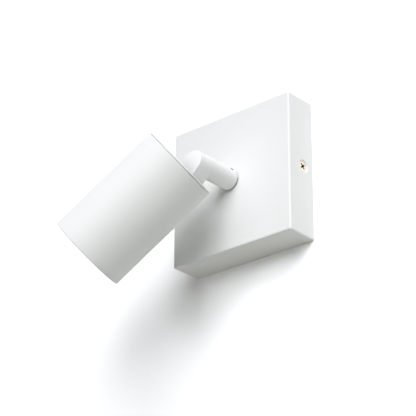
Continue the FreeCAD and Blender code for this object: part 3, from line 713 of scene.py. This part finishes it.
def add_toothed_washer():
    """Lock washer whose teeth stand round its rim: a ring, its outer rows drawn in between the teeth by a
    raised cosine of the angle, and twisted by a sine of it."""
    reach, height = measure("swivel_lock_washer", wall_axes)
    inner, outer, middle = reach.min(), reach.max(), (height.min() + height.max()) / 2
    half = washer_sheet / 2
    corners = [
        (inner, middle - half, washer_edge_r),
        (outer, middle - half, washer_edge_r),
        (outer, middle + half, washer_edge_r),
        (inner, middle + half, washer_edge_r),
    ]
    profile = divided(outline(corners, True), washer_row, height.min(), height.max())
    share = np.clip((profile[:, :1] - outer + washer_band) / washer_band, 0, 1)
    wave = washer_teeth * round_angles(fine_sides)
    ripple = -washer_tooth * share * np.clip(0.5 + washer_cut * np.cos(wave), 0, 1)
    twist = (height.max() - middle - half) * share * np.sin(wave)
    grid = turned(profile, fine_sides, ripple, twist)
    zinc = finishes["zinc_steel"]
    patches = [(wall_axes.out(grid), True, 0)]
    add_piece("toothed_washer", "base", ["swivel_lock_washer"], [zinc], patches)


def cell_centres():
    """Places of the lamp's light sources: one in the middle and a ring round it."""
    angle = round_angles(cell_count)
    ring = cell_ring * np.stack([np.cos(angle), np.sin(angle)], -1)
    return np.vstack([[0, 0], ring])


def add_lens():
    """Lens of the lamp: a domed front, and a back with a round bulge over every light source."""
    reach, height = measure("lamp_lens", head_axes)
    rim_r, back, front = reach.max(), height.min(), height.max()
    front_r = np.linspace(0, rim_r, lens_front_rows)
    back_r = np.linspace(rim_r, 0, lens_back_rows)
    front_rows = np.stack([front_r, front - lens_dome * (front_r / rim_r) ** 2], -1)
    back_rows = np.stack([back_r, np.full(lens_back_rows, back)], -1)
    profile = np.vstack([front_rows, back_rows])
    grid = turned(profile)
    apart = grid[..., None, :2] - cell_centres()
    near = np.min(np.sum(apart**2, axis=-1), axis=-1) / cell_r**2
    on_back = np.arange(len(profile))[:, None] >= lens_front_rows
    grid[..., 2] -= cell_height * np.clip(1 - near, 0, 1) * on_back
    clear = finishes["clear_lens"]
    patches = [(head_axes.out(grid), False, 0)]
    add_piece("lens_optic", "lamp", ["lamp_lens"], [clear], patches)


def phosphor():
    """Yellow phosphor of the light sources."""
    glow = new_finish("phosphor")
    grain = glow.noise(size=0.15 * MM, detail=fine_detail)
    return glow.end(
        Base_Color=glow.mix(grain, (0.80, 0.60, 0.08, 1), (0.90, 0.74, 0.16, 1)),
        Roughness=0.4 + grain * 0.2,
        Normal=glow.bump(grain, depth=0.01 * MM),
    )


def chip_grid(base, centre):
    """Light source: rounded square loops, cos and sin each raised to a small power, from the foot over
    the rim down to the sunk phosphor."""
    half, lit = chip_side / 2, phosphor_side / 2
    top = base + chip_height
    rows = [(0, base), (half, base), (half, top - chip_edge), (half - chip_edge, top)]
    rows += [(lit, top), (lit - phosphor_lean, top - phosphor_sink), (0, top - phosphor_sink)]
    size, height = np.array(rows).T[..., None]
    angle = round_angles(chip_sides)
    power = 2 / chip_squareness
    x = np.sign(np.cos(angle)) * np.abs(np.cos(angle)) ** power
    y = np.sign(np.sin(angle)) * np.abs(np.sin(angle)) ** power
    loops = np.stack(np.broadcast_arrays(centre[0] + size * x, centre[1] + size * y, height), -1)
    return head_axes.out(loops)


def add_light_board():
    """Board of the lamp with its light sources, each with a patch of phosphor."""
    reach, height = measure("lamp_board", head_axes)
    rim_r, base, top = reach.max(), height.min(), height.max() - chip_height
    corners = [(0, base, 0), (rim_r, base, board_edge_r), (rim_r, top, board_edge_r), (0, top, 0)]
    patches = [(head_axes.out(turned(outline(corners, False))), False, 0)]
    for centre in cell_centres():
        chip = chip_grid(top, centre)
        patches.append((chip[:5], False, 0))
        patches.append((chip[4:], False, 1))
    materials = [finishes["lamp_board"], phosphor()]
    add_piece("light_board", "lamp", ["lamp_board"], materials, patches)


def studio_paint(name, colour, seen):
    """Plain paint that is seen paler than it lights the object, and that nothing sees from behind."""
    paint = new_finish(name)
    diffuse = paint.add("ShaderNodeBsdfDiffuse", None, {"Color": paint.mix(paint.seen(), colour, seen)})
    behind = paint.add("ShaderNodeNewGeometry", output="Backfacing")
    clear = paint.add("ShaderNodeBsdfTransparent")
    surface = paint.add("ShaderNodeMixShader", None, {0: behind, 1: diffuse, 2: clear})
    paint.add("ShaderNodeOutputMaterial", None, {"Surface": surface})
    return paint.owner


def add_wall():
    """Wall round the plate: a square ring whose hole lets the open back of the plate be seen."""
    low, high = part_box("base_cover")
    hole = (high.x - low.x) / 2 - wall_hole_inset
    reaches = (hole, wall_half_width)
    points = [(x * reach, wall_behind, z * reach) for reach in reaches for x, z in square_corners]
    faces = [(k, 4 + k, 4 + (k + 1) % 4, (k + 1) % 4) for k in range(4)]
    paint = studio_paint("studio_wall", wall_paint, wall_seen)
    add_mesh("studio_wall", points, faces, [paint], False)


def add_floor():
    """Pale floor far below the light."""
    paint = studio_paint("studio_floor", floor_paint, floor_seen)
    points = [(x * floor_half_width, y * floor_half_width, -floor_below) for x, y in square_corners]
    add_mesh("studio_floor", points, [(0, 1, 2, 3)], [paint], False)


def add_lamp(name, azimuth, elevation, side, power):
    """Large square lamp that looks at the head."""
    turn, rise = math.radians(azimuth), math.radians(elevation)
    flat = math.cos(rise)
    towards = Vector((math.sin(turn) * flat, -math.cos(turn) * flat, math.sin(rise)))
    light = bpy.data.lights.new(name, "AREA")
    light.shape = "SQUARE"
    light.size = side
    light.energy = power
    light.color = lamp_colour
    holder = bpy.data.objects.new(name, light)
    holder.location = lamp_aim + lamp_distance * towards
    holder.rotation_euler = (-towards).to_track_quat("-Z", "Y").to_euler()
    bpy.context.scene.collection.objects.link(holder)


def add_world():
    """Faint even light all round, which is seen as white."""
    world = bpy.data.worlds.new("studio")
    bpy.context.scene.world = world
    sky = Finish(world)
    colour = sky.mix(sky.seen(), ambient_colour, background_colour)
    light = sky.add("ShaderNodeBackground", None, {"Color": colour})
    sky.add("ShaderNodeOutputWorld", None, {"Surface": light})


def add_camera():
    """Camera of the photograph's view."""
    turn = Matrix.Rotation(math.radians(camera_azimuth), 4, "Z")
    tip = Matrix.Rotation(math.radians(90 - camera_elevation), 4, "X")
    roll = Matrix.Rotation(math.radians(camera_roll), 4, "Z")
    axes = turn @ tip @ roll
    data = bpy.data.cameras.new("camera")
    data.lens = camera_lens
    camera = bpy.data.objects.new("camera", data)
    camera.matrix_world = Matrix.Translation(Vector(arm_axes.origin) + axes @ camera_from_plate) @ axes
    bpy.context.scene.collection.objects.link(camera)
    bpy.context.scene.camera = camera


finishes = make_finishes()
dress(finishes)
add_head_shell()
add_side_screws()
add_threaded_nipple()
add_toothed_washer()
add_lens()
add_light_board()
add_wall()
add_floor()
for lamp in lamps:
    add_lamp(*lamp)
add_world()
add_camera()
bpy.context.scene.view_settings.view_transform = "Standard"
